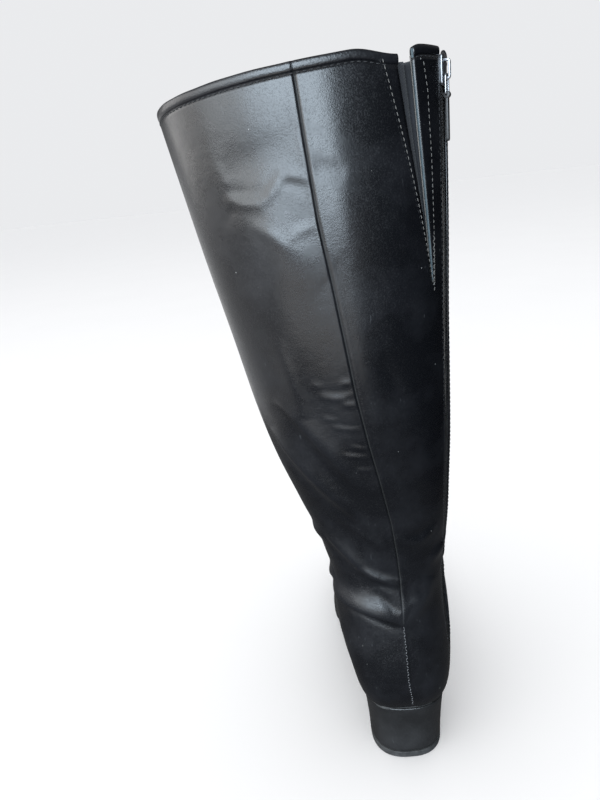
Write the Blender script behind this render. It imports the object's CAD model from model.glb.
"""The left knee-high boot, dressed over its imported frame.

Tables are in millimetres and the scene is in metres. Every point on the boot is read from the last as a row
s, from 0 at the toe to LAST_ROW above the collar, and a turn in degrees round the section.
"""

import math
import bpy
import bmesh
import numpy as np
from mathutils import Matrix, Vector


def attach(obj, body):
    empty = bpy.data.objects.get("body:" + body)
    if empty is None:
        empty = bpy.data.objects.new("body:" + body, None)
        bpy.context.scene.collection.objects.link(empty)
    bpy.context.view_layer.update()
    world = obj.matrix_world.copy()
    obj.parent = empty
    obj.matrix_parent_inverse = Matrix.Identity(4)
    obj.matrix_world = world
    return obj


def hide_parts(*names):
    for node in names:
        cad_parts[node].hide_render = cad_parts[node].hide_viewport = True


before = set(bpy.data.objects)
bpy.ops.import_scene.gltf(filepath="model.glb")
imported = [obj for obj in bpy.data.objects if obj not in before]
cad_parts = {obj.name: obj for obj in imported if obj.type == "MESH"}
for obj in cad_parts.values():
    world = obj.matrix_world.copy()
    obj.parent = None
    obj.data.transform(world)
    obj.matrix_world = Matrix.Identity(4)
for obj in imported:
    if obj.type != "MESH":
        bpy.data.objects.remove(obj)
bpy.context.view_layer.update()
MM = 0.001


# ---------- the last ----------
def table(names, rows):
    """A short table as named columns."""
    return dict(zip(names.split(), np.array(rows, float).T))


WALL = 2.2
HEEL_BACK = 35.5
COLLAR = 430
KEEL = table("y z", [
    (-222, 13.8), (-205, 9.6), (-188, 6.8), (-170, 5.1), (-152, 4.3), (-133, 4.3), (-119, 5.6),
    (-104, 10.6), (-84, 20.8), (-64, 31.6), (-45, 40.2), (-28, 44.6), (-8, 46.9), (12, 48.7), (36, 51),
])
SOLE = table("y margin thick", [
    (-222, 1.2, 3.4), (-170, 1.3, 4), (-120, 1.2, 4.1), (-95, 0.6, 3.7), (-60, -0.2, 3.2), (-28, -1, 2.7),
    (36, -1.2, 2.6),
])
# Sections of the boot: the foot's from the toe to the ankle, then the shaft's up to just above the collar.
ROWS = table("topY topZ lowY lowZ outer inner widest roundTop roundLow lean", [
    (-221.3, 23.5, -221.3, 13, -2.5, -14.5, 0.45, 2, 2.1, 0),
    (-219.8, 29.5, -219.8, 10, 4.5, -21, 0.43, 2.1, 2.3, 0),
    (-216.4, 35.5, -216.4, 8, 11, -27, 0.41, 2.2, 2.6, 0),
    (-210, 41.5, -210, 6, 19, -32.5, 0.37, 2.2, 3, 0),
    (-201, 46.5, -201, 4.2, 26, -36.8, 0.34, 2.2, 3.3, 0),
    (-187, 50.5, -187, 1.8, 33, -40.3, 0.3, 2.1, 3.7, 0),
    (-170, 53.4, -169, 0.1, 38.6, -43, 0.28, 2.1, 4, 0),
    (-153, 57, -150, -0.8, 42.4, -44.3, 0.27, 2, 4, 0),
    (-136, 62.5, -131, -0.6, 44.6, -43.2, 0.28, 1.95, 4, 0),
    (-120, 69.5, -112, 2.2, 44.6, -39.8, 0.3, 1.9, 3.8, 0),
    (-105, 78.5, -92, 11.6, 42.2, -36.4, 0.33, 1.9, 3.6, 0),
    (-91, 89, -71, 22.6, 39.8, -34.4, 0.37, 1.9, 3.5, 0),
    (-78, 101, -50, 33, 38.2, -33.8, 0.4, 1.9, 3.6, 0),
    (-67.5, 113, -29, 39.2, 37.2, -33.6, 0.43, 1.95, 3.7, 0),
    (-60, 123.5, -8, 41.8, 36, -33.4, 0.45, 2, 3.6, 0),
    (-54.8, 132.5, 12, 43.6, 34.8, -33.2, 0.46, 2, 3.5, 0),
    (-51.4, 140, 27, 47, 34.6, -33.4, 0.47, 2.05, 3.2, 0),
    (-49.4, 146, 33.4, 57, 37, -34, 0.48, 2.1, 2.7, 0),
    (-48.2, 152, 35.4, 70, 40.2, -34.4, 0.49, 2.1, 2.3, 0),
    (-47.4, 158.5, 35, 85, 41.2, -33.8, 0.5, 2.1, 2.15, 0),
    (-46.8, 166, 32.8, 102, 40.4, -32.6, 0.5, 2.1, 2.15, 0),
    (-46.2, 175.5, 30.6, 121, 42, -32.6, 0.5, 2.15, 2.15, 0.3),
    (-45.6, 187.5, 29.8, 142, 45.4, -34, 0.5, 2.15, 2.15, 0.8),
    (-45, 203, 31.2, 167, 51.4, -36, 0.5, 2.15, 2.15, 1.4),
    (-44.8, 222, 34.8, 195, 59.4, -36.9, 0.5, 2.15, 2.15, 2),
    (-45.2, 246, 40.4, 226, 68, -37.6, 0.5, 2.15, 2.15, 2.6),
    (-46.4, 276, 47.4, 263, 75.8, -37.4, 0.5, 2.15, 2.15, 3.3),
    (-48.4, 312, 53.4, 305, 83.4, -37.2, 0.5, 2.15, 2.15, 4),
    (-50.4, 352, 57, 349, 91.8, -37.9, 0.5, 2.15, 2.15, 4.6),
    (-51.8, 393, 58, 392, 99.4, -38.4, 0.5, 2.15, 2.15, 5),
    (-52, 446, 58, 446, 109, -38.8, 0.5, 2.15, 2.15, 5.3),
])
LAST_ROW = len(ROWS["topY"]) - 1
ANKLE_ROW = 20


def through(column, place):
    """A smooth curve through a column's values, read at a place counted in rows."""
    i = np.clip(np.floor(place).astype(int), 0, len(column) - 2)
    t = place - i
    a, b, c, d = (column[np.clip(i + k, 0, len(column) - 1)] for k in (-1, 0, 1, 2))
    return b + 0.5 * t * (c - a + t * (2 * a - 5 * b + 4 * c - d + t * (3 * (b - c) + d - a)))


def along(rows, name, y):
    """A column of a table along the foot, read at y."""
    y = np.clip(y, rows["y"][0], rows["y"][-1])
    return through(rows[name], np.interp(y, rows["y"], np.arange(len(rows["y"]))))


def keel(y):
    return along(KEEL, "z", y)


def power(v, n):
    return np.sign(v) * np.abs(v) ** (2 / n)


def surface(s, turn):
    """Points of the last. turn is 0 outer, 90 top or front, 180 inner, 270 below or behind."""
    s, turn = np.broadcast_arrays(np.asarray(s, float), np.asarray(turn, float))
    r = {name: through(column, s) for name, column in ROWS.items()}
    c, u = np.cos(np.radians(turn)), np.sin(np.radians(turn))
    n = np.where(u > 0, r["roundTop"], r["roundLow"])
    middle = (r["outer"] + r["inner"]) / 2
    x = middle + (r["outer"] - r["inner"]) / 2 * power(c, n)
    share = r["widest"] + np.where(u > 0, 1 - r["widest"], r["widest"]) * power(u, n)
    y = r["lowY"] + (r["topY"] - r["lowY"]) * share
    z = r["lowZ"] + (r["topZ"] - r["lowZ"]) * share - (x - middle) * np.tan(np.radians(r["lean"]))
    return np.stack([x, y, z], -1)


def unit(v):
    return v / np.maximum(np.linalg.norm(v, axis=-1, keepdims=True), 1e-9)


def normal(s, turn):
    up = surface(np.minimum(s + 0.02, LAST_ROW), turn) - surface(np.maximum(s - 0.02, 0), turn)
    return unit(np.cross(up, surface(s, turn + 1) - surface(s, turn - 1)))


def limit(low, high, test):
    """Where test, true at low, stops being true."""
    low, high = np.array(low, float), np.array(high, float)
    for _ in range(26):
        middle = (low + high) / 2
        true = test(middle)
        low, high = np.where(true, middle, low), np.where(true, high, middle)
    return low


def degrees(s, turn, mm):
    return 2 * mm / np.linalg.norm(surface(s, turn + 1) - surface(s, turn - 1), axis=-1)


def row_at(turn, z):
    turn, z = np.broadcast_arrays(np.asarray(turn, float), np.asarray(z, float))
    low, high = np.full(turn.shape, 11), np.full(turn.shape, LAST_ROW)
    return limit(low, high, lambda s: surface(s, turn)[..., 2] < z)


def bell(x):
    """1 at the middle, falling smoothly to 0 at -1 and 1."""
    return 0.5 + 0.5 * np.cos(np.pi * np.clip(x, -1, 1))


def rim_row(turn, below=0):
    """The row where the sloping collar, or a line below it, cuts the last."""
    turn = np.asarray(turn, float)
    dip = 3.6 * bell((turn % 360 - 235) / np.where(turn % 360 > 235, 19, 12))

    def under(s):
        p = surface(s, turn)
        return p[..., 2] < COLLAR - 0.082 * (p[..., 0] - 35) + 0.064 * (p[..., 1] - 58) - dip - below
    return limit(np.full(turn.shape, 20), np.full(turn.shape, LAST_ROW), under)


# ---------- seams, zip and gore ----------
BACK_SEAM = table("z turn", [
    (49, 270), (60, 266.2), (85, 264.6), (122, 264.4), (151, 263), (191, 263), (220, 265), (248, 267.4),
    (278, 269.2), (303, 269.8), (334, 270.6), (366, 271.8), (400, 271.7), (440, 271.2),
])
SEAM_FADES = 118  # the groove ends at the stiffened heel
ZIP_TURN = 203
ZIP_SLOT = 10
ZIP_BOTTOM = 84
GORE_FRONT, GORE_REAR, GORE_POINT, GORE_DROP = 228, 235, 220.5, 102
BINDING = 4.2


def seam_turn(z):
    return np.interp(z, BACK_SEAM["z"], BACK_SEAM["turn"])


gore_low = float(row_at(GORE_POINT, COLLAR - GORE_DROP))
gore_top = float(rim_row(GORE_REAR))
lowest = float(limit(11, 20, lambda s: surface(s, 270)[..., 2] < keel(surface(s, 270)[..., 1])))


def gore_edges(s, lap=0.4):
    rise = np.clip((s - gore_low) / (gore_top - gore_low), 0, 1.2)
    front = GORE_POINT + (GORE_FRONT - GORE_POINT) * rise
    rear = GORE_POINT + (GORE_REAR - GORE_POINT) * rise
    return front - degrees(s, front, lap), rear + degrees(s, rear, lap), rise


def feather_turn(s, side):
    """The turn where the section at s meets the keel, on the outer side (1) or the inner side (-1)."""
    s = np.asarray(s, float)

    def over(angle):
        p = surface(s, side * 90 - 90 - side * angle)
        return p[..., 2] > keel(p[..., 1])
    return side * 90 - 90 - side * limit(np.zeros(s.shape), np.full(s.shape, 90), over)


# ---------- creases ----------
# Each fold runs from its first end over a bend to its last end, as turn and height, from the outer side
# inwards. above and below are its half widths on its upper and lower sides, and over and under are the
# hollows beside it, as shares of its height.
FOLDS = table("turnA zA turnB zB turnC zC above below height over under", [
    # below the collar
    (305, 388, 290, 396, 274, 396, 10, 10, -0.9, 0, 0),
    (304, 374, 288, 356, 273, 338, 12, 12, 1.1, 0, 0),
    (308, 379, 298, 375, 289, 376, 2, 3.4, 0.5, 0.9, 0),
    (291, 375.5, 286, 379, 281, 386.5, 2, 2.2, 0.35, 0.9, 0),
    (283, 386, 277, 387, 271.9, 382, 2.4, 2, 0.35, 0.2, 0.9),
    (283, 358, 278, 363, 272.5, 363, 2.2, 2.2, 0.2, 0.4, 0.4),
    (297, 366, 291, 363, 284, 353, 2.8, 2.8, 0.3, 0.3, 0.3),
    (271, 388, 266, 387, 260.5, 383, 4, 4, -0.4, 0, 0),
    # at the calf, beside the seam
    (289, 286, 286, 285, 283, 284, 1.4, 1.4, 0.2, 0.6, 0),
    (286, 280, 277, 275, 269.4, 279, 1.8, 2.2, 0.45, 1.0, 0),
    (275, 285, 272, 286, 269.6, 285.5, 1.4, 1.4, 0.35, 0.7, 0),
    (276, 274, 273, 272.5, 269.6, 273, 1.7, 1.7, 0.5, 0.8, 0),
    (288, 267, 284, 265, 280, 264, 1.4, 1.4, 0.22, 0.7, 0),
    (284, 261, 277, 258, 269, 258, 1.1, 1.1, 0.4, 0.6, 0),
    (276, 248, 273, 246, 268, 245, 1.1, 1.1, 0.4, 0.6, 0),
    (281, 243, 276, 241, 268.5, 240, 1.1, 1.1, 0.45, 0.7, 0),
    (275, 233, 272, 231.5, 268, 231, 1.1, 1.1, 0.4, 0.6, 0),
    (302, 312, 299, 285, 296, 266, 4, 5, 0.9, 0, 0.5),
    (256, 296, 250, 283, 246, 268, 5, 5, -0.5, 0, 0),
    # long folds down the outer side
    (314, 277, 299, 264, 270, 212, 7, 3.6, 1.6, 0.2, 0.8),
    (290, 238, 281, 224, 271, 200, 3, 3, 0.5, 0.4, 0.4),
    (330, 255, 309, 227, 268, 180, 6.5, 3.6, 1.6, 0.3, 0.7),
    (304, 204, 288, 187, 267, 174, 4, 3, 1.0, 0.6, 0.5),
    # above the ankle
    (258, 188, 248, 172, 232, 186, 4, 4, -0.6, 0, 0),
    (261, 184, 249, 168, 226, 183, 3.4, 3.4, 0.8, 0, 0.3),
    (318, 180, 297, 168, 280, 147, 5, 3, 1.4, 0.4, 0.7),
    (291, 160, 279, 151, 262, 147, 2.6, 2, 1.1, 0.5, 0.7),
    (273, 151, 268, 149, 263, 147.5, 1, 1, -0.5, 0, 0),
    (283, 144, 274, 133, 265.5, 128, 3, 3, -0.7, 0, 0),
    # the leather bulging over the stiff heel, sharp on its lower side
    (358, 127, 304, 136, 264, 119, 11, 2.2, 4.7, 0, 0.3),
    (268, 119, 250, 123, 232, 146, 12, 6, 1.7, 0, 0.1),
    (260, 143, 257, 138, 254, 133, 3, 3, -0.6, 0, 0),
    (249, 145, 246, 138, 242, 134, 3, 3, -0.5, 0, 0),
    (349, 96, 331, 112, 314, 121, 3, 3, 0.6, 0.6, 0),
    # outer edge of the ankle, the notch on the inner edge, and the front of the ankle
    (378, 176, 352, 176, 322, 177, 4.5, 4, 1.3, 0.4, 0.6),
    (382, 133, 360, 138, 332, 144, 6, 2.2, 2.2, 0.4, 0.4),
    (214, 146, 200, 143, 182, 146, 2.6, 2.6, -1.2, 0, 0),
    (236, 158, 218, 160, 196, 166, 4, 4, 0.9, 0.5, 0.5),
    (20, 158, 60, 172, 110, 176, 5, 5, -1.4, 0, 0),
    (60, 160, 95, 166, 150, 158, 5, 5, 1.3, 0.4, 0.4),
    (35, 142, 85, 147, 140, 140, 4.5, 4.5, -1.5, 0, 0),
    (40, 190, 85, 197, 130, 192, 6, 6, 0.9, 0.3, 0.5),
])
# Broad slack hollows and swells of the shaft, as turn, height and half sizes.
SLACK = table("turn z across up height", [
    (315, 330, 26, 48, -1.6), (292, 330, 16, 40, 0.9), (250, 250, 22, 50, -0.8), (300, 195, 20, 16, -1.8),
    (318, 205, 18, 26, -0.8), (60, 330, 30, 60, -1.5), (110, 250, 26, 50, 1.2), (150, 380, 24, 40, -1.2),
    (10, 250, 26, 40, 1), (264, 345, 8, 80, 0.8),
])


def fold_paths():
    """Each fold as a curve of points on the last."""
    t = np.linspace(0, 1, 9)
    for i in range(len(FOLDS["turnA"])):
        f = {name: column[i] for name, column in FOLDS.items()}
        weights = ((1 - t) ** 2, 2 * t * (1 - t), t ** 2)
        turn = weights[0] * f["turnA"] + weights[1] * f["turnB"] + weights[2] * f["turnC"]
        z = weights[0] * f["zA"] + weights[1] * f["zB"] + weights[2] * f["zC"]
        yield f, surface(row_at(turn, z), turn)


fold_lines = list(fold_paths())


def relief(s, turn):
    """Height of the folds and back seam above the plain last, in mm, and the distance from the seam."""
    p, n = surface(s, turn), normal(s, turn)
    height = np.zeros(len(p))
    for f, path in fold_lines:
        reach = 4 * max(f["above"], f["below"])
        near = np.where(((p > path.min(0) - reach) & (p < path.max(0) + reach)).all(1))[0]
        if not len(near):
            continue
        q, m = p[near], n[near]
        best = np.full(len(near), 1e9)
        side = np.zeros(len(near))
        share = np.zeros(len(near))
        for k in range(len(path) - 1):
            a, d = path[k], path[k + 1] - path[k]
            t = np.clip((q - a) @ d / (d @ d), 0, 1)
            away = q - a - t[:, None] * d
            distance = np.linalg.norm(away, axis=1)
            signed = np.einsum("ij,ij->i", away, unit(np.cross(m, d)))
            closer = distance < best
            best, side = np.where(closer, distance, best), np.where(closer, signed, side)
            share = np.where(closer, (k + t) / (len(path) - 1), share)
        w = np.where(side > 0, f["above"], f["below"])
        fade = np.maximum(np.sin(np.pi * share), 0) ** 0.6 * np.exp(-np.maximum(best - np.abs(side), 0) / w)
        shape = np.exp(-(best / w) ** 2)
        shape -= f["over"] * 0.6 * np.exp(-((side - 2.1 * f["above"]) / (1.3 * f["above"])) ** 2)
        shape -= f["under"] * 0.6 * np.exp(-((side + 2.1 * f["below"]) / (1.3 * f["below"])) ** 2)
        height[near] += f["height"] * fade * shape
    around = (turn + 90) % 360 - 90
    for turn0, z0, across, up, h in zip(*SLACK.values()):
        apart = (around - turn0 + 180) % 360 - 180
        height += h * np.exp(-(apart / across) ** 2 - ((p[:, 2] - z0) / up) ** 2)
    seam = ((turn - seam_turn(p[:, 2]) + 180) % 360 - 180) / degrees(s, turn, 1)
    grooved = np.clip((p[:, 2] - SEAM_FADES) / 40, 0, 1) * (p[:, 1] > 0)
    heel = np.clip((SEAM_FADES + 4 - p[:, 2]) / 6, 0, 1) * np.clip((p[:, 2] - 46) / 4, 0, 1) * (p[:, 1] > 0)
    puff = 0.12 * np.exp(-((np.abs(seam) - 1.6) / 1.1) ** 2)
    height += grooved * (puff - 0.8 * np.exp(-(seam / 0.5) ** 2))
    height += heel * (0.3 * np.exp(-(seam / 1.3) ** 2))
    return height, np.abs(seam)


# ---------- making pieces ----------
boot_pieces = bpy.data.collections.new("boot pieces")  # what the big soft lights fall on


def piece(name, bm, material, body="boot", smooth=True):
    mesh = bpy.data.meshes.new(name)
    bm.to_mesh(mesh)
    bm.free()
    mesh.materials.append(material)
    if smooth:
        mesh.polygons.foreach_set("use_smooth", [True] * len(mesh.polygons))
    made = bpy.data.objects.new(name, mesh)
    bpy.context.scene.collection.objects.link(made)
    boot_pieces.objects.link(made)
    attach(made, body)
    return made


def skin(columns, rows, place, weld=False, caps=False):
    """A grid of faces laid by place(u, v), in mm. weld joins edges that meet and caps closes the ends."""
    bm = bmesh.new()
    bmesh.ops.create_grid(bm, x_segments=columns, y_segments=rows, size=1)
    flat = np.array([vert.co[:2] for vert in bm.verts])
    points = place((flat[:, 0] + 1) / 2, (flat[:, 1] + 1) / 2) * MM
    for vert, point in zip(bm.verts, points):
        vert.co = point
    if weld or caps:
        bmesh.ops.remove_doubles(bm, verts=bm.verts, dist=2e-6)
    if caps:
        bmesh.ops.holes_fill(bm, edges=[edge for edge in bm.edges if edge.is_boundary])
    bmesh.ops.recalc_face_normals(bm, faces=bm.faces)
    return bm


def thicken(made, mm):
    solid = made.modifiers.new("thickness", "SOLIDIFY")
    solid.thickness = mm * MM
    solid.offset = -1
    return made


def ring_skin(section, count, centres, sides, ups, width, height, squareness=2, closed=False):
    """A bar of rounded section swept through centres, with its own sideways and upward directions."""
    def place(u, v):
        k = np.clip(np.round(v * (count - 1 if not closed else count)).astype(int), 0, None) % len(centres)
        a = 2 * np.pi * u
        return (centres[k] + sides[k] * (width / 2 * power(np.cos(a), squareness))[:, None]
                + ups[k] * (height / 2 * power(np.sin(a), squareness))[:, None])
    return skin(section, count if closed else count - 1, place, weld=True, caps=not closed)


def on_skin(s, turn, lift):
    """Points on the creased leather, raised by lift."""
    s, turn = np.atleast_1d(s).astype(float), np.atleast_1d(turn).astype(float)
    height, _ = relief(s, turn)
    return surface(s, turn) + normal(s, turn) * (height + lift)[:, None]


def run_of(path, pitch):
    """Turns and rows spaced by pitch along a path of (turn, height) points."""
    path = np.array(path, float)
    t = np.linspace(0, len(path) - 1, 400)
    turn = np.interp(t, np.arange(len(path)), path[:, 0])
    z = np.interp(t, np.arange(len(path)), path[:, 1])
    s = row_at(turn, z)
    walked = np.concatenate([[0], np.cumsum(np.linalg.norm(np.diff(surface(s, turn), axis=0), axis=1))])
    stops = np.arange(pitch / 2, walked[-1], pitch)
    return np.interp(stops, walked, s), np.interp(stops, walked, turn)


def bead(bm, placed):
    """A small rounded grain of thread or nylon, placed in mm."""
    bmesh.ops.create_uvsphere(bm, u_segments=8, v_segments=5, radius=1, matrix=Matrix.Scale(MM, 4) @ placed)


def stitches(name, runs, length, width, lift, material, slant=0):
    """Rows of thread stitches, one mesh. Each run is rows and turns along a seam."""
    bm = bmesh.new()
    for s, turn in runs:
        p, n = on_skin(s, turn, lift), normal(s, turn)
        forward = unit(np.gradient(p, axis=0))
        for i in range(len(p)):
            d, up = Vector(forward[i]), Vector(n[i])
            side = up.cross(d).normalized()
            if slant:
                d = (d * math.cos(slant) + side * math.sin(slant) * (-1) ** i).normalized()
                side = up.cross(d).normalized()
            turned = Matrix((d * length / 2, side * width / 2, up * width * 0.4)).transposed().to_4x4()
            turned.translation = p[i]
            bead(bm, turned)
    return piece(name, bm, material)


# ---------- materials ----------
def add(tree, kind, settings=None, **sockets):
    made = tree.nodes.new("ShaderNode" + kind)
    for name, value in (settings or {}).items():
        setattr(made, name, value)
    for name, value in sockets.items():
        made.inputs[name.replace("_", " ")].default_value = value
    return made


def shader_group(name, inputs, outputs):
    """A shared effect with named inputs and outputs. Returns the group and its two ends."""
    tree = bpy.data.node_groups.new(name, "ShaderNodeTree")
    for label, value in inputs.items():
        kind = "NodeSocketColor" if isinstance(value, tuple) else "NodeSocketFloat"
        tree.interface.new_socket(label, in_out="INPUT", socket_type=kind).default_value = value
    for label, kind in outputs.items():
        tree.interface.new_socket(label, in_out="OUTPUT", socket_type="NodeSocket" + kind)
    return tree, tree.nodes.new("NodeGroupInput").outputs, tree.nodes.new("NodeGroupOutput").inputs


def math_node(tree, operation, a, b=None, clamp=False):
    made = add(tree, "Math", {"operation": operation, "use_clamp": clamp})
    for socket, value in zip(made.inputs, (a, b)):
        if isinstance(value, bpy.types.NodeSocket):
            tree.links.new(value, socket)
        elif value is not None:
            socket.default_value = value
    return made.outputs[0]


def noise(tree, vector, scale, detail=2.0, roughness=0.5):
    made = add(tree, "TexNoise", Detail=detail, Roughness=roughness)
    tree.links.new(vector, made.inputs["Vector"])
    if isinstance(scale, bpy.types.NodeSocket):
        tree.links.new(scale, made.inputs["Scale"])
    else:
        made.inputs["Scale"].default_value = scale
    return made.outputs["Fac"]


def per_metre(tree, mm):
    return math_node(tree, "DIVIDE", 1000.0, mm)


def ramp(tree, value, low, high):
    made = add(tree, "MapRange", {"clamp": True}, From_Min=low, From_Max=high)
    tree.links.new(value, made.inputs["Value"])
    return made.outputs["Result"]


def grain_group():
    """Leather grain: fine pebbles, pores between them and slow waviness, as a normal and a pore mask."""
    tree, given, result = shader_group(
        "leather grain",
        {"Cell mm": 1.0, "Depth": 0.3, "Waviness": 0.2},
        {"Normal": "Vector", "Pores": "Float"})
    spot = add(tree, "TexCoord").outputs["Object"]
    cells = add(tree, "TexVoronoi", {"feature": "SMOOTH_F1"}, Smoothness=0.6, Randomness=1.0)
    tree.links.new(spot, cells.inputs["Vector"])
    tree.links.new(per_metre(tree, given["Cell mm"]), cells.inputs["Scale"])
    fine = noise(tree, spot, math_node(tree, "MULTIPLY", per_metre(tree, given["Cell mm"]), 0.9), 4, 0.65)
    pebbles = math_node(tree, "SUBTRACT", fine, cells.outputs["Distance"])
    slow = noise(tree, spot, 48, 4, 0.6)
    first = add(tree, "Bump", Distance=0.006)
    tree.links.new(slow, first.inputs["Height"])
    tree.links.new(given["Waviness"], first.inputs["Strength"])
    second = add(tree, "Bump", Distance=0.0004)
    tree.links.new(pebbles, second.inputs["Height"])
    tree.links.new(given["Depth"], second.inputs["Strength"])
    tree.links.new(first.outputs["Normal"], second.inputs["Normal"])
    tree.links.new(second.outputs["Normal"], result["Normal"])
    tree.links.new(ramp(tree, cells.outputs["Distance"], 0.45, 0.8), result["Pores"])
    return tree


def wear_group():
    """Rubbed patches, thin scratches and pale dust specks, as masks."""
    tree, given, result = shader_group(
        "wear and dust",
        {"Patch mm": 30.0, "Amount": 0.5},
        {"Rubbed": "Float", "Scratches": "Float", "Specks": "Float"})
    spot = add(tree, "TexCoord").outputs["Object"]
    patches = noise(tree, spot, per_metre(tree, given["Patch mm"]), 5, 0.6)
    raised = math_node(tree, "MULTIPLY", given["Amount"], 0.2)
    rubbed = ramp(tree, math_node(tree, "ADD", patches, raised), 0.52, 0.78)
    tree.links.new(rubbed, result["Rubbed"])
    stretched = add(tree, "Mapping", Scale=(1.0, 1.0, 0.16), Rotation=(0.5, 0.35, 0.0))
    tree.links.new(spot, stretched.inputs["Vector"])
    lines = noise(tree, stretched.outputs["Vector"], 900, 2, 0.5)
    scratches = math_node(tree, "MULTIPLY", ramp(tree, lines, 0.70, 0.76), ramp(tree, patches, 0.5, 0.62))
    tree.links.new(scratches, result["Scratches"])
    dots = add(tree, "TexVoronoi", {"feature": "F1"}, Scale=190.0)
    tree.links.new(spot, dots.inputs["Vector"])
    few = ramp(tree, noise(tree, spot, 130, 1), 0.60, 0.66)
    specks = math_node(tree, "MULTIPLY", ramp(tree, dots.outputs["Distance"], 0.075, 0.045), few)
    tree.links.new(specks, result["Specks"])
    return tree


def weave_group():
    """Woven threads across and along the shaft, as a normal and a shade."""
    tree, given, result = shader_group(
        "weave", {"Across mm": 1.0, "Along mm": 0.7, "Depth": 0.5}, {"Normal": "Vector", "Shade": "Float"})
    spot = add(tree, "SeparateXYZ")
    tree.links.new(add(tree, "TexCoord").outputs["Object"], spot.inputs["Vector"])
    aside = math_node(tree, "MULTIPLY", spot.outputs["Y"], 0.6)
    level = math_node(tree, "SUBTRACT", spot.outputs["X"], aside)
    threads = []
    for place, width in ((level, given["Across mm"]), (spot.outputs["Z"], given["Along mm"])):
        turns = math_node(tree, "DIVIDE", 2000 * math.pi, width)
        threads.append(math_node(tree, "SINE", math_node(tree, "MULTIPLY", place, turns)))
    height = math_node(tree, "MULTIPLY", threads[0], threads[1])
    bump = add(tree, "Bump", Distance=0.0003)
    tree.links.new(height, bump.inputs["Height"])
    tree.links.new(given["Depth"], bump.inputs["Strength"])
    tree.links.new(bump.outputs["Normal"], result["Normal"])
    tree.links.new(ramp(tree, height, -1, 1), result["Shade"])
    return tree


GRAIN, WEAR, WEAVE = grain_group(), wear_group(), weave_group()


def use(tree, group, **values):
    made = tree.nodes.new("ShaderNodeGroup")
    made.node_tree = group
    for name, value in values.items():
        made.inputs[name.replace("_", " ")].default_value = value
    return made.outputs


def mix(tree, share, a, b):
    """Between two colours, by a mask."""
    made = add(tree, "Mix", {"data_type": "RGBA"})
    for socket, value in ((made.inputs[0], share), (made.inputs[6], a), (made.inputs[7], b)):
        if isinstance(value, bpy.types.NodeSocket):
            tree.links.new(value, socket)
        else:
            socket.default_value = value if isinstance(value, float) else (*value, 1.0)
    return made.outputs[2]


def surface_material(name, **constants):
    made = bpy.data.materials.new(name)
    made.use_nodes = True
    tree = made.node_tree
    shader = next(n for n in tree.nodes if n.type == "BSDF_PRINCIPLED")
    for label, value in constants.items():
        shader.inputs[label.replace("_", " ")].default_value = value
    return made, tree, shader.inputs


def read_mask(tree, name):
    return add(tree, "Attribute", {"attribute_name": name}).outputs["Fac"]


def leather(name, colour, rough, cell=0.65, depth=0.08, waviness=0.035, wear=0.4, creased=False):
    """Smooth black leather: grain, rubbed and dusty places, darker seam, paler tops of the folds."""
    made, tree, shader = surface_material(name, Specular_IOR_Level=0.26)
    grain = use(tree, GRAIN, Cell_mm=cell, Depth=depth, Waviness=waviness)
    worn = use(tree, WEAR, Patch_mm=34.0, Amount=wear)
    tint = mix(tree, worn["Rubbed"], colour, tuple(c * 1.8 + 0.0005 for c in colour))
    tint = mix(tree, math_node(tree, "MULTIPLY", worn["Scratches"], 0.12), tint, (0.10, 0.105, 0.11))
    tint = mix(tree, math_node(tree, "MULTIPLY", worn["Specks"], 0.2), tint, (0.35, 0.35, 0.34))
    roughness = math_node(tree, "ADD", math_node(tree, "MULTIPLY", worn["Rubbed"], 0.10), rough)
    roughness = math_node(tree, "ADD", roughness, math_node(tree, "MULTIPLY", grain["Pores"], 0.12))
    if creased:
        groove = ramp(tree, read_mask(tree, "seam"), 0.7, 0.25)
        tint = mix(tree, groove, tint, (0.001, 0.001, 0.001))
        ridge = math_node(tree, "MULTIPLY", ramp(tree, read_mask(tree, "crease"), 0.3, 1.6), 0.5)
        tint = mix(tree, ridge, tint, tuple(c * 2 + 0.0015 for c in colour))
        roughness = math_node(tree, "ADD", roughness, math_node(tree, "MULTIPLY", groove, 0.35), clamp=True)
    tree.links.new(tint, shader["Base Color"])
    tree.links.new(roughness, shader["Roughness"])
    tree.links.new(grain["Normal"], shader["Normal"])
    return made


def woven(name, colour, across, along_mm, depth=0.5, rough=0.85):
    made, tree, shader = surface_material(name, Specular_IOR_Level=0.2, Sheen_Weight=0.04)
    weave = use(tree, WEAVE, Across_mm=across, Along_mm=along_mm, Depth=depth)
    worn = use(tree, WEAR, Patch_mm=12.0, Amount=0.3)
    tint = mix(tree, weave["Shade"], tuple(c * 0.55 for c in colour), colour)
    tint = mix(tree, math_node(tree, "MULTIPLY", worn["Rubbed"], 0.4), tint, tuple(c * 1.5 for c in colour))
    tree.links.new(tint, shader["Base Color"])
    tree.links.new(weave["Normal"], shader["Normal"])
    shader["Roughness"].default_value = rough
    return made


def plain(name, colour, rough, metal=0.0, cell=0.5, depth=0.12, wear=0.3):
    """Metal, plastic, rubber and thread: one colour with its own small wear."""
    made, tree, shader = surface_material(name, Metallic=metal, Specular_IOR_Level=0.25)
    grain = use(tree, GRAIN, Cell_mm=cell, Depth=depth, Waviness=0.03)
    worn = use(tree, WEAR, Patch_mm=6.0, Amount=wear)
    paler = tuple(min(1, c * 1.35 + 0.01) for c in colour)
    tint = mix(tree, math_node(tree, "MULTIPLY", worn["Rubbed"], 0.6), colour, paler)
    roughness = math_node(tree, "ADD", math_node(tree, "MULTIPLY", worn["Rubbed"], 0.15), rough)
    tree.links.new(tint, shader["Base Color"])
    tree.links.new(roughness, shader["Roughness"])
    tree.links.new(grain["Normal"], shader["Normal"])
    return made


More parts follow.
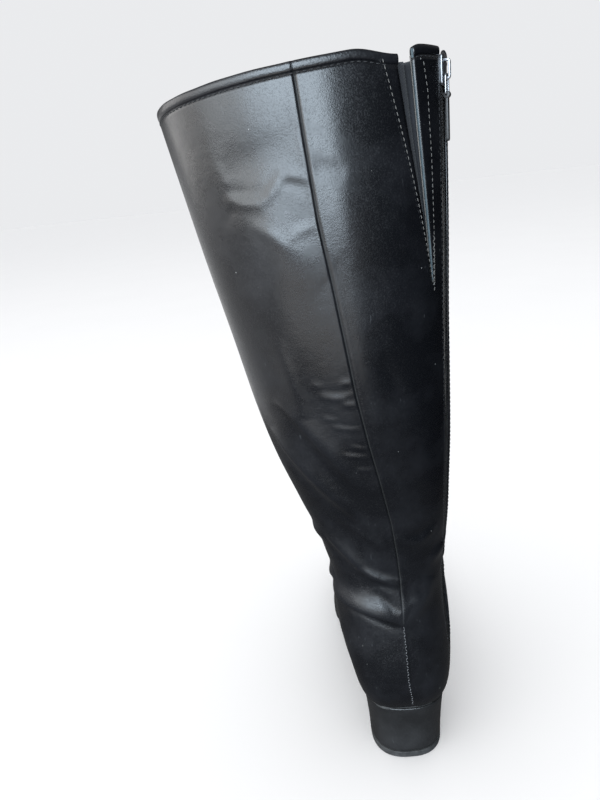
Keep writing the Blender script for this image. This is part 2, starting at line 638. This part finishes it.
BLACK = (0.0011, 0.0012, 0.0016)
upper_leather = leather("upper leather", BLACK, 0.25, waviness=0.05, creased=True)
binding_leather = leather(
    "binding leather", (0.0014, 0.0015, 0.002), 0.28, cell=0.8, depth=0.15, waviness=0.06)
heel_leather = leather(
    "heel leather", (0.004, 0.004, 0.0042), 0.28, cell=0.9, depth=0.14, waviness=0.05, wear=0.5)
cut_edge = plain("cut leather edge", (0.016, 0.024, 0.028), 0.7, cell=0.4, depth=0.4)
lining_leather = leather("lining", (0.03, 0.027, 0.024), 0.55, cell=0.7, depth=0.15, wear=0.6)
insole_leather = leather("insole", (0.045, 0.038, 0.032), 0.55, cell=0.8, depth=0.15, wear=0.8)
elastic_cloth = woven("elastic", (0.0045, 0.005, 0.0065), 0.9, 0.6, depth=0.6)
tape_cloth = woven("zip tape", (0.007, 0.007, 0.008), 0.6, 0.6)
seam_thread = plain("seam thread", (0.045, 0.043, 0.040), 0.65, cell=0.15, depth=0.5)
dark_thread = plain("dark thread", (0.003, 0.003, 0.0035), 0.6, cell=0.15, depth=0.5)
pale_thread = plain("pale thread", (0.045, 0.045, 0.047), 0.6, cell=0.15)
nylon = plain("nylon coil", (0.005, 0.005, 0.005), 0.4, cell=0.3)
plated = plain("plated zinc", (0.13, 0.133, 0.14), 0.34, metal=1.0, cell=0.4, depth=0.05, wear=0.5)
pull_black = plain("pull plastic", (0.004, 0.004, 0.004), 0.4, cell=0.4)
sole_rubber = plain("sole rubber", (0.008, 0.008, 0.008), 0.62, cell=0.8, depth=0.3, wear=0.6)

# ---------- upper ----------
# Columns of faces between the back seam, the outer side, the zip's two edges, the gore's two edges and the
# seam again.
COLUMNS = np.array([62, 46, 4, 12, 3, 36])
CROWD = np.array([1.5, 1, 1, 1, 1, 1.4])  # how much the columns crowd towards the seam
STEPS = np.concatenate([[0], np.cumsum(COLUMNS)])
RELAX = (12, 15)  # below these rows the columns spread evenly over the foot
TOE_ROWS = 2
FOOT_ROWS = np.concatenate([np.arange(0, 12, 0.4), np.arange(12, ANKLE_ROW, 0.2)])
SHAFT_BANDS = [
    (102, 120, 1.5), (120, 192, 1.3), (192, 225, 2), (225, 290, 1.4), (290, 340, 2.4), (340, 400, 1.5),
    (400, 430, 2),
]  # finer where the leather is creased
SHAFT_Z = np.concatenate([np.arange(low, high, step) for low, high, step in SHAFT_BANDS])
shaft_rows = np.interp(SHAFT_Z, ROWS["lowZ"][ANKLE_ROW:], np.arange(ANKLE_ROW, LAST_ROW + 1))
LEVELS = np.concatenate([FOOT_ROWS, shaft_rows])
LINING_LEVELS = np.unique(np.append(LEVELS[::3], LEVELS[-1]))
SQUARED = 24  # above this row the rows are fitted to the sloping collar
FAR_FROM_SEAM = 9


def knots(s):
    """Turns of the column marks at row s, from the seam all the way round to the seam again."""
    back = seam_turn(surface(s, 268)[..., 2])
    foot = s < lowest
    start = np.where(foot, feather_turn(s, 1), back - 360)
    end = np.where(foot, feather_turn(s, -1) + 360, back)
    half = degrees(s, ZIP_TURN, ZIP_SLOT / 2)
    front, rear, _ = gore_edges(s)
    marks = np.stack([start, np.full(s.shape, 0.0), ZIP_TURN - half, ZIP_TURN + half, front, rear, end], -1)
    even = start[:, None] + (end - start)[:, None] * np.array([0, 0.25, 0.795, 0.823, 0.874, 0.884, 1])
    w = np.clip((s - RELAX[0]) / (RELAX[1] - RELAX[0]), 0, 1)[:, None]
    return even + (marks - even) * w * w * (3 - 2 * w)


def upper_place(u, v, levels, below):
    """Row, turn and grid row of each grid point. Grid rows under 0 close the toe."""
    k = np.round(v * (len(levels) - 1 + TOE_ROWS)).astype(int) - TOE_ROWS
    s = levels[np.maximum(k, 0)]
    column = u * STEPS[-1]
    j = np.clip(np.searchsorted(STEPS, column + 1e-6, side="right") - 1, 0, len(STEPS) - 2)
    t = np.clip((column - STEPS[j]) / (STEPS[j + 1] - STEPS[j]), 0, 1)
    t = np.where(j == 0, t ** CROWD[0], np.where(j == len(STEPS) - 2, 1 - (1 - t) ** CROWD[-1], t))
    marks = knots(s)
    pick = np.arange(len(s))
    turn = marks[pick, j] + (marks[pick, j + 1] - marks[pick, j]) * t
    top = rim_row(turn, below)
    s = np.where(s > SQUARED, SQUARED + (s - SQUARED) * (top - SQUARED) / (levels[-1] - SQUARED), s)
    return s, turn, k


def cut_openings(bm, u, s, z):
    """Takes the zip's slot and the gore's V out of a grid laid over the upper."""
    index = {vert: i for i, vert in enumerate(bm.verts)}
    doomed = []
    for face in bm.faces:
        corners = [index[vert] for vert in face.verts]
        column = int(np.mean([u[i] for i in corners]) * STEPS[-1])
        slot = STEPS[2] <= column < STEPS[3] and min(z[i] for i in corners) > ZIP_BOTTOM
        gore = STEPS[4] <= column < STEPS[5] and min(s[i] for i in corners) > gore_low
        if slot or gore:
            doomed.append(face)
    bmesh.ops.delete(bm, geom=doomed, context="FACES")


def shell(name, material, thickness, levels, below, nose, depth):
    """One layer of the upper. depth gives how it lies to the last, from the height of the creases."""
    bm = bmesh.new()
    bmesh.ops.create_grid(bm, x_segments=int(STEPS[-1]), y_segments=len(levels) - 1 + TOE_ROWS, size=1)
    flat = np.array([vert.co[:2] for vert in bm.verts])
    u, v = (flat[:, 0] + 1) / 2, (flat[:, 1] + 1) / 2
    s, turn, k = upper_place(u, v, levels, below)
    height, seam = relief(s, turn)
    plain_last = surface(s, turn)
    points = plain_last + normal(s, turn) * depth(height)[:, None]
    shut = k < 0
    tip = points[k == 0].mean(0) - (0, nose, 0)
    points[shut] = tip + (points[shut] - tip) * np.where(k[shut] == -1, 0.55, 0.0)[:, None]
    crease_layer = bm.verts.layers.float.new("crease")
    seam_layer = bm.verts.layers.float.new("seam")
    for vert, point, h, d in zip(bm.verts, points, height, seam):
        vert.co = point * MM
        vert[crease_layer] = h
        vert[seam_layer] = d if point[1] > 0 and point[2] > SEAM_FADES else FAR_FROM_SEAM
    cut_openings(bm, u, s, plain_last[:, 2])
    bmesh.ops.remove_doubles(bm, verts=bm.verts, dist=2e-6)
    bm.normal_update()
    middle = [f for f in bm.faces if 0.2 < f.calc_center_median().z < 0.3]
    outward = sum((f.calc_center_median() - Vector((0.018, 0, 0.25))).dot(f.normal) > 0 for f in middle)
    if outward < len(middle) / 2:
        bmesh.ops.reverse_faces(bm, faces=bm.faces)
    return thicken(piece(name, bm, material), thickness)


upper = shell("upper_leather", upper_leather, 1.3, LEVELS, BINDING, 0.7, lambda height: height)
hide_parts("upper")
shell("upper_lining", lining_leather, 0.45, LINING_LEVELS, BINDING - 1, 0,
      lambda height: np.minimum(height, 0) - 1.7)

# ---------- collar ----------
def zip_edge(side, extra=0.0):
    s = float(rim_row(ZIP_TURN))
    return ZIP_TURN + side * float(degrees(s, ZIP_TURN, ZIP_SLOT / 2 + extra))


def binding(name, start, stop, node):
    count = max(10, int(abs(stop - start) / 0.5))
    turn = np.linspace(start, stop, count)
    s = rim_row(turn)
    out = normal(s, turn)
    up = unit(surface(s, turn) - surface(s - 0.1, turn))
    seam = ((turn - seam_turn(COLLAR) + 180) % 360 - 180) * 1.68
    joint = 0.5 * np.exp(-((seam - 2) / 2) ** 2) - 0.9 * np.exp(-(seam / 0.6) ** 2)
    wave = 0.12 * np.sin(np.radians(turn * 9)) + 0.08 * np.sin(np.radians(turn * 23 + 40))
    centres = surface(s, turn) - out * (WALL / 2 - joint[:, None] * 0.5)
    centres += up * (wave[:, None] - BINDING) / 2
    bm = ring_skin(20, count, centres, out, up, WALL + 0.35, BINDING + 0.1, 2.4)
    made = piece(name, bm, binding_leather)
    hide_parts(node)


binding("collar_bead", zip_edge(-1, 0.3), GORE_REAR + 0.4 - 360, "collar_binding")
binding("collar_bead_strip", zip_edge(1, 0.3), GORE_FRONT - 0.4, "collar_binding_strip")


def rim_run(start, stop, below, pitch):
    """Rows and turns along the collar, below its edge."""
    turn = np.linspace(start, stop, 600)
    s = rim_row(turn, below)
    walked = np.concatenate([[0], np.cumsum(np.linalg.norm(np.diff(surface(s, turn), axis=0), axis=1))])
    stops = np.arange(pitch / 2, walked[-1], pitch)
    return np.interp(stops, walked, s), np.interp(stops, walked, turn)


round_run = rim_run(zip_edge(-1, 2.5), GORE_REAR + 6 - 360, 4.9, 2.9)
strip_run = rim_run(zip_edge(1, 2), GORE_FRONT - 2, 4.9, 2.9)
stitches("collar_stitching", [round_run, strip_run], 2.1, 0.6, 0.0, dark_thread)

# ---------- gore ----------
def elastic_place(u, v):
    low = float(row_at(GORE_POINT, COLLAR - GORE_DROP - 8))
    high = float(rim_row(GORE_REAR, 3.2))
    s = low + (high - low) * v
    front, rear, rise = gore_edges(s, 5.4)
    turn = front + (rear - front) * u
    pleat = np.exp(-((u - 0.40) / 0.10) ** 2)
    return surface(s, turn) - normal(s, turn) * (WALL + 0.35 - 0.2 * rise + 5.5 * pleat * rise)[:, None]


elastic = thicken(piece("gore_elastic", skin(28, 70, elastic_place), elastic_cloth), 0.9)
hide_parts("elastic_gore")


def edge_strip():
    """The cut leather edge along the front of the gore."""
    s = np.linspace(gore_low + 0.05, float(rim_row(GORE_FRONT, 0.5)), 60)
    front, _, rise = gore_edges(s, 0.2)
    out = normal(s, front)
    centres = surface(s, front) - out * 0.7
    along_s = unit(np.gradient(centres, axis=0))
    return ring_skin(10, len(s), centres, np.cross(along_s, out), out, 0.7, 1.3, 2.8)


piece("gore_cut_edge", edge_strip(), cut_edge)

REAR_LEG = [(242.3, 428), (237.5, 405), (233.2, 385), (227, 356), (221, 330)]
REAR_LEG_SECOND = [(turn + 1.1, z) for turn, z in REAR_LEG]
STRIP_LEG = [(222, 427), (219.9, 415), (219.4, 399), (218.9, 386), (219, 345), (219.8, 326)]
stitches("gore_stitching", [run_of(REAR_LEG, 2.7), run_of(STRIP_LEG, 2.7)], 1.9, 0.4, 0.05, seam_thread)
stitches("gore_second_row", [run_of(REAR_LEG_SECOND, 2.7)], 2.0, 0.32, -0.1, dark_thread)
BAR_TACK = [(219.4, 352), (220.2, 328)]
stitches("gore_bar_tack", [run_of(BAR_TACK, 1.5)], 2.2, 0.45, 0.2, seam_thread, slant=0.9)

# ---------- zip ----------
zip_low = float(row_at(ZIP_TURN, ZIP_BOTTOM))
zip_high = float(rim_row(ZIP_TURN, 2))
slider_row = float(rim_row(ZIP_TURN, 9))


def tape(name, start, stop, node):
    def place(u, v):
        s = zip_low - 0.2 + (zip_high - zip_low + 0.2) * v
        turn = ZIP_TURN + degrees(s, ZIP_TURN, start + (stop - start) * u)
        return surface(s, turn) - normal(s, turn) * (WALL + 0.2)
    made = thicken(piece(name, skin(10, 130, place), tape_cloth), 0.7)
    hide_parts(node)


tape("zip_tape_front_cloth", -10.2, -0.5, "zip_tape_front")
tape("zip_tape_back_cloth", 0.5, 10.2, "zip_tape_back")


def coil():
    """Two rows of nylon teeth, locked, with the sewn cord down the middle."""
    bm = bmesh.new()
    s = np.linspace(zip_low + 0.03, slider_row - 0.12, 900)
    turn = np.full(s.shape, float(ZIP_TURN))
    walked = np.concatenate([[0], np.cumsum(np.linalg.norm(np.diff(surface(s, turn), axis=0), axis=1))])
    stops = np.arange(0.4, walked[-1], 1.35)
    s = np.interp(stops, walked, s)
    p = surface(s, ZIP_TURN) - normal(s, ZIP_TURN) * 1.35
    n = normal(s, ZIP_TURN)
    forward = unit(np.gradient(p, axis=0))
    for i in range(len(p)):
        up, d = Vector(n[i]), Vector(forward[i])
        side = up.cross(d).normalized()
        for sign in (-1, 1):
            shift = side * (sign * 1.15) + d * (0.34 * sign)
            tooth = Matrix((side * 1.35, d * 0.42, up * 0.85)).transposed().to_4x4()
            tooth.translation = Vector(p[i]) + shift
            bead(bm, tooth)
    made = piece("zip_teeth", bm, nylon)
    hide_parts("zip_coil")


coil()


def zip_side_run(side, away):
    s = np.linspace(zip_low - 0.15, float(rim_row(ZIP_TURN, 6)), 500)
    turn = ZIP_TURN + side * degrees(s, ZIP_TURN, ZIP_SLOT / 2 + away)
    walked = np.concatenate([[0], np.cumsum(np.linalg.norm(np.diff(surface(s, turn), axis=0), axis=1))])
    stops = np.arange(1.4, walked[-1], 2.8)
    return np.interp(stops, walked, s), np.interp(stops, walked, turn)


stitches("zip_stitching", [zip_side_run(-1, 2.2), zip_side_run(1, 2.2)], 2.1, 0.5, 0.0, dark_thread)

# ---------- slider and pull ----------
outwards = Vector((*normal(slider_row, ZIP_TURN)[:2], 0)).normalized()
level = Vector((0, 0, 1)).cross(outwards)
slider_frame = Matrix((level, Vector((0, 0, 1)), outwards)).transposed().to_4x4()
slider_frame.translation = Vector(surface(slider_row, ZIP_TURN))
SLIDER_TO_ROOM = Matrix.Scale(MM, 4) @ slider_frame
PIVOT_UP, PIVOT_OUT = -2.2, 1.4
LINK_WIDTH, LINK_LENGTH, WIRE = 4.5, 8.5, 1.1
SHIELD = [
    (-3.1, -6.75), (3.1, -6.75), (3.9, -5.75), (4.3, 1.5), (3.8, 5.55),
    (1.6, 6.75), (-1.6, 6.75), (-3.8, 5.55), (-4.3, 1.5), (-3.9, -5.75),
]
BAIL = [
    (-4.6, 0.3), (-4.1, 2.9), (-3.2, 3.3), (3.2, 3.3), (4.1, 2.9),
    (4.6, 0.3), (3.4, 0.3), (3.1, 2.3), (-3.1, 2.3), (-3.4, 0.3),
]


def pressed(bm, outline, low, high, rounding, across=False):
    """A plate in the slider's own frame, from an outline, with rounded edges."""
    def corner(a, b):
        return (low, a, b) if across else (a, b, low)
    verts = [bm.verts.new(corner(a, b)) for a, b in outline]
    face = bm.faces.new(verts)
    push = (high - low, 0, 0) if across else (0, 0, high - low)
    grown = bmesh.ops.extrude_face_region(bm, geom=[face])["geom"]
    moved = [g for g in grown if isinstance(g, bmesh.types.BMVert)]
    bmesh.ops.translate(bm, verts=moved, vec=push)
    rim = {edge for vert in verts + moved for edge in vert.link_edges}
    bmesh.ops.bevel(
        bm, geom=list(rim), offset=rounding, segments=2, profile=0.5, affect="EDGES", material=-1)


def finish_metal(name, bm, material, body):
    bmesh.ops.recalc_face_normals(bm, faces=bm.faces)
    bmesh.ops.transform(bm, matrix=SLIDER_TO_ROOM, verts=bm.verts)
    return piece(name, bm, material, body)


def slider():
    bm = bmesh.new()
    pressed(bm, SHIELD, -0.6, 0.5, 0.22)
    pressed(bm, SHIELD, -4.7, -3.8, 0.2)
    for x in (-3.75, 3.75):
        pressed(bm, [(x - 0.4, -5), (x + 0.4, -5), (x + 0.4, 4.5), (x - 0.4, 4.5)], -1.7, -0.5, 0.15)
    pressed(bm, [(-1.1, -1.1), (1.1, -1.1), (1.1, 1.1), (-1.1, 1.1)], -3.9, -0.5, 0.1)
    pressed(bm, BAIL, -0.8, 0.8, 0.2, across=True)
    made = finish_metal("zip_slider_body", bm, plated, "boot")
    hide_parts("zip_slider")


slider()


def link():
    """A wire loop hanging from the slider's bail."""
    count, corner = 64, 1.2
    a = 2 * np.pi * (np.arange(count) + 0.5) / count
    away = np.stack([np.cos(a), np.sin(a), 0 * a], -1)
    core = np.sign(away) * (LINK_WIDTH / 2 - corner, LINK_LENGTH / 2 - corner, 0)
    centres = core + away * corner + (0, PIVOT_UP - LINK_LENGTH / 2, PIVOT_OUT)
    ups = np.tile((0.0, 0.0, 1.0), (count, 1))
    bm = ring_skin(14, count, centres, away, ups, WIRE, WIRE, closed=True)
    bmesh.ops.scale(bm, vec=(1 / MM, 1 / MM, 1 / MM), verts=bm.verts)
    made = finish_metal("pull_loop", bm, plated, "pull_link")
    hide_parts("zip_pull_link")


link()


def pull_bar():
    top = PIVOT_UP - LINK_LENGTH
    bm = bmesh.new()
    barrel = Matrix.Translation((0, top, PIVOT_OUT)) @ Matrix.Rotation(math.pi / 2, 4, "Y")
    bmesh.ops.create_cone(
        bm, cap_ends=True, segments=28, radius1=1.65, radius2=1.65, depth=2.7, matrix=barrel)
    rims = [edge for edge in bm.edges if edge.calc_face_angle(0) > 1]
    bmesh.ops.bevel(bm, geom=rims, offset=0.3, segments=3, profile=0.5, affect="EDGES", material=-1)
    half, low = 1.35, top - 20
    outline = [
        (-half, top - 1.2), (-half, low + 1), (-half + 0.7, low),
        (half - 0.7, low), (half, low + 1), (half, top - 1.2),
    ]
    pressed(bm, outline, PIVOT_OUT - 0.8, PIVOT_OUT + 0.8, 0.35)
    made = finish_metal("pull_bar_body", bm, pull_black, "pull_bar")
    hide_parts("zip_pull_bar")


pull_bar()

# ---------- bottom ----------
SOLE_STATIONS = 90
sole_rows = lowest * (1 - np.cos(np.pi * np.linspace(0, 1, SOLE_STATIONS + 1))) / 2
sole_rows[-1] = lowest - 1e-4
edge_out = surface(sole_rows, feather_turn(sole_rows, 1))
edge_in = surface(sole_rows, feather_turn(sole_rows, -1))


def outset(edge, side):
    """The edge moved out from the upper by the sole's margin."""
    d = unit(np.gradient(edge[:, :2], axis=0))
    out = np.stack([d[:, 1], -d[:, 0]], -1) * side
    moved = edge.copy()
    moved[:, :2] += out * along(SOLE, "margin", edge[:, 1])[:, None]
    return moved


def plate(top, bottom, inset=0.0):
    """A plate that follows the keel. top and bottom give heights at y."""
    left, right = outset(edge_out, 1), outset(edge_in, -1)
    half = 9
    across = np.linspace(0, 1, half + 1)
    ring = np.array([(w, 1) for w in across] + [(w, -1) for w in across[::-1]])

    def place(u, v):
        k = np.round(v * SOLE_STATIONS).astype(int)
        i = np.round(u * len(ring)).astype(int) % len(ring)
        w, side = ring[i, 0], ring[i, 1]
        a, b = left[k], right[k]
        span = np.maximum(np.linalg.norm(b - a, axis=1), 0.2)
        margin = np.minimum(inset / span, 0.45)
        w = margin + (1 - 2 * margin) * w
        p = a + (b - a) * w[:, None]
        y = np.clip(p[:, 1], left[:, 1].min() + inset, left[:, 1].max() - inset)
        z = np.where(side > 0, top(y), bottom(y))
        return np.stack([p[:, 0], y, z], -1)
    return skin(len(ring), SOLE_STATIONS, place, weld=True, caps=True)


def sole_top(y):
    return keel(y) - 0.25


def sole_bottom(y):
    return np.maximum(0, keel(y) - 0.3 - along(SOLE, "thick", y))


outsole = piece("outsole_rubber", plate(sole_top, sole_bottom), sole_rubber)
soften = outsole.modifiers.new("edge", "BEVEL")
soften.width, soften.segments = 0.6 * MM, 2
soften.limit_method, soften.angle_limit = "ANGLE", math.radians(50)
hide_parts("outsole")

insole_form = plate(lambda y: keel(y) + 2.2, lambda y: keel(y) + 0.1, inset=3.2)
insole = piece("insole_cover", insole_form, insole_leather)
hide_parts("insole")

HEEL = table("z half back breast", [
    (0, 24.8, 25, -25), (5, 24.9, 25.3, -25.2), (20, 25.4, 26.6, -25.8), (36, 26.4, 28.6, -26.8),
    (46, 27.2, 30.2, -27.6), (54, 27.7, 31.7, -28.2),
])


def heel_outline(z, u):
    """A D-shaped ring, flat towards the toe, at height z."""
    place = np.interp(z, HEEL["z"], np.arange(len(HEEL["z"])))
    half, back, breast = (through(HEEL[name], place) for name in ("half", "back", "breast"))
    middle = back - half * 1.05
    a = np.pi * np.clip(u / 0.62, 0, 1)
    curve = np.stack([half * power(np.cos(a), 2.5), middle + (back - middle) * power(np.sin(a), 2.5)], -1)
    t = np.clip((u - 0.62) / 0.38, 0, 1)
    corner = 3.0
    straight = np.interp(t, [0, 0.3, 1 - 0.3, 1], [0, 0, 1, 1])
    down = np.interp(t, [0, 0.3, 0.7, 1], [0, 1, 1, 0])
    rounded = np.minimum(1, np.minimum(np.abs(t - 0.3), np.abs(t - 0.7)) / 0.08)
    flat = np.stack([-half + 2 * half * straight, middle + (breast - middle) * down], -1)
    flat[:, 0] += np.where(straight < 0.5, 1, -1) * corner * 0.25 * (1 - rounded) * (down > 0.6)
    return np.where((u < 0.62)[:, None], curve, flat)


def heel_piece(name, low, high, material, node, rim=0.0):
    """A heel layer between two surfaces, its upper rim rounded and standing slightly proud."""
    heights = np.concatenate([[0, 0, 0.02], np.linspace(0.06, 0.9, 22), [0.94, 0.97, 0.99, 1, 1]])
    shrink = np.concatenate([[0.0, 0.94, 0.985], np.ones(22), [1 + rim, 1 + rim, 1 - 0.008, 0.965, 0.0]])
    lip = np.concatenate([np.zeros(25), np.array([0.3, 0.85, 1, 0, 0]) * (2.2 if rim else 0)])

    def place(u, v):
        k = np.round(v * (len(heights) - 1)).astype(int)
        flat_top = 46.0 if high is None else high
        z = low + (flat_top - low) * heights[k]
        xy = heel_outline(z, u)
        centre = np.array([0.0, 1.5])
        xy = centre + (xy - centre) * shrink[k][:, None]
        if high is None:
            roof = sole_bottom(xy[:, 1]) - 0.3
            z = low + (roof - low) * heights[k] + lip[k] * np.clip((xy[:, 1] + 24) / 8, 0, 1)
        return np.stack([xy[:, 0], xy[:, 1], z], -1)
    made = piece(name, skin(120, len(heights) - 1, place, weld=True), material)
    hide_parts(node)


heel_piece("heel_block_cover", 5.2, None, heel_leather, "heel_block", rim=0.006)
heel_piece("heel_top_piece_rubber", 0.0, 4.9, sole_rubber, "heel_top_piece")

# Thread along the heel's back, over its low ridge.
heel_run = run_of([(264.5, 117), (264.6, 90), (265.8, 64), (267.5, 55)], 2.0)
stitches("heel_stitching", [heel_run], 1.7, 0.42, 0.05, pale_thread, slant=0.6)


# ---------- floor, light and camera ----------
def floor():
    bm = bmesh.new()
    bmesh.ops.create_grid(bm, x_segments=1, y_segments=1, size=40)
    mesh = bpy.data.meshes.new("floor")
    bm.to_mesh(mesh)
    bm.free()
    made, tree, shader = surface_material("pale floor", Specular_IOR_Level=0.2)
    spot = add(tree, "TexCoord").outputs["Object"]
    tint = mix(tree, noise(tree, spot, 4), (0.85, 0.85, 0.85), (0.87, 0.87, 0.87))
    tree.links.new(tint, shader["Base Color"])
    shader["Roughness"].default_value = 0.75
    mesh.materials.append(made)
    ground = bpy.data.objects.new("floor", mesh)
    bpy.context.scene.collection.objects.link(ground)


floor()


def lamp(name, place, aim, width, height, watts, colour=(1, 1, 1), boot_only=False):
    data = bpy.data.lights.new(name, "AREA")
    data.shape, data.size, data.size_y, data.energy, data.color = "RECTANGLE", width, height, watts, colour
    made = bpy.data.objects.new(name, data)
    made.location = place
    made.rotation_euler = (Vector(aim) - Vector(place)).to_track_quat("-Z", "Y").to_euler()
    made.visible_camera = False
    if boot_only:
        made.light_linking.receiver_collection = boot_pieces
    bpy.context.scene.collection.objects.link(made)


def panel(name, azimuth, half_angle, low, high, brightness, colour=(1, 1, 1)):
    """A soft upright light 4 m from the boot. azimuth runs from behind the boot round to its outer side."""
    far = 4.0
    a = math.radians(azimuth)
    width, height = 2 * far * math.tan(math.radians(half_angle)), high - low
    place = (0.03 + far * math.sin(a), 0.05 + far * math.cos(a), (high + low) / 2)
    watts = brightness * math.pi * width * height
    lamp(name, place, (0.03, 0.05, (high + low) / 2), width, height, watts, colour, True)


panel("window", 8, 22, 0.0, 3.6, 26, (0.75, 0.88, 1.0))
panel("side window", 49, 18, 0.0, 3.0, 12, (0.92, 0.97, 1.0))
panel("side wall", 95, 26, 0.0, 3.0, 5.5, (1.0, 0.985, 0.97))
lamp("lit floor", (0.3, 0.76, 0.004), (0.3, 0.76, 1), 0.8, 0.56, 4.6, (1.0, 0.97, 0.94), True)
lamp("ceiling", (1.2, 1.4, 3.2), (0, -0.3, 0), 3, 3, 45)


def card(name, turned, width, height, tone):
    """A studio card that is only seen in the leather's gloss."""
    bm = bmesh.new()
    bmesh.ops.create_grid(bm, x_segments=1, y_segments=1, size=0.5)
    bmesh.ops.transform(bm, matrix=turned @ Matrix.Diagonal((width, height, 1, 1)), verts=bm.verts)
    mesh = bpy.data.meshes.new(name)
    bm.to_mesh(mesh)
    bm.free()
    made, tree, shader = surface_material(name, Roughness=1.0, Specular_IOR_Level=0.0)
    shader["Base Color"].default_value = (tone, tone, tone, 1)
    mesh.materials.append(made)
    made = bpy.data.objects.new(name, mesh)
    bpy.context.scene.collection.objects.link(made)
    made.visible_camera = made.visible_diffuse = made.visible_shadow = False


upright = Matrix.Translation((-0.28, 0.12, 0.25)) @ Matrix.Rotation(math.pi / 2, 4, "Y")
card("black_card", upright, 0.56, 0.8, 0.01)
card("grey_mat", Matrix.Translation((-0.1, 0.15, 0.001)), 1.0, 1.4, 0.12)

world = bpy.data.worlds.new("room")
bpy.context.scene.world = world
world.use_nodes = True
sky = world.node_tree
background = next(n for n in sky.nodes if n.type == "BACKGROUND")
rays = sky.nodes.new("ShaderNodeLightPath")
seen = math_node(sky, "MULTIPLY", rays.outputs["Is Camera Ray"], 0.85)
soft = math_node(sky, "MULTIPLY", rays.outputs["Is Diffuse Ray"], 1.08)
gloss = math_node(sky, "MULTIPLY", rays.outputs["Is Glossy Ray"], 0.2)
strength = math_node(sky, "ADD", math_node(sky, "ADD", seen, soft), gloss)
sky.links.new(strength, background.inputs["Strength"])
background.inputs["Color"].default_value = (0.97, 0.98, 1.0, 1)
bpy.context.scene.view_settings.view_transform = "Standard"


def camera(place, aim, roll, lens):
    data = bpy.data.cameras.new("camera")
    data.sensor_fit, data.sensor_height, data.lens = "VERTICAL", 36, lens
    data.clip_start = 0.01
    ahead = (Vector(aim) - Vector(place)).normalized()
    right = ahead.cross(Vector((0, 0, 1))).normalized()
    up = right.cross(ahead)
    c, s = math.cos(math.radians(roll)), math.sin(math.radians(roll))
    right, up = right * c - up * s, up * c + right * s
    made = bpy.data.objects.new("camera", data)
    made.matrix_world = Matrix((right, up, -ahead)).transposed().to_4x4()
    made.location = Vector(place) * MM
    bpy.context.scene.collection.objects.link(made)
    bpy.context.scene.camera = made


camera((35.6, 338.4, 378.9), (50.5, 0, 261.4), 6.3, 27)
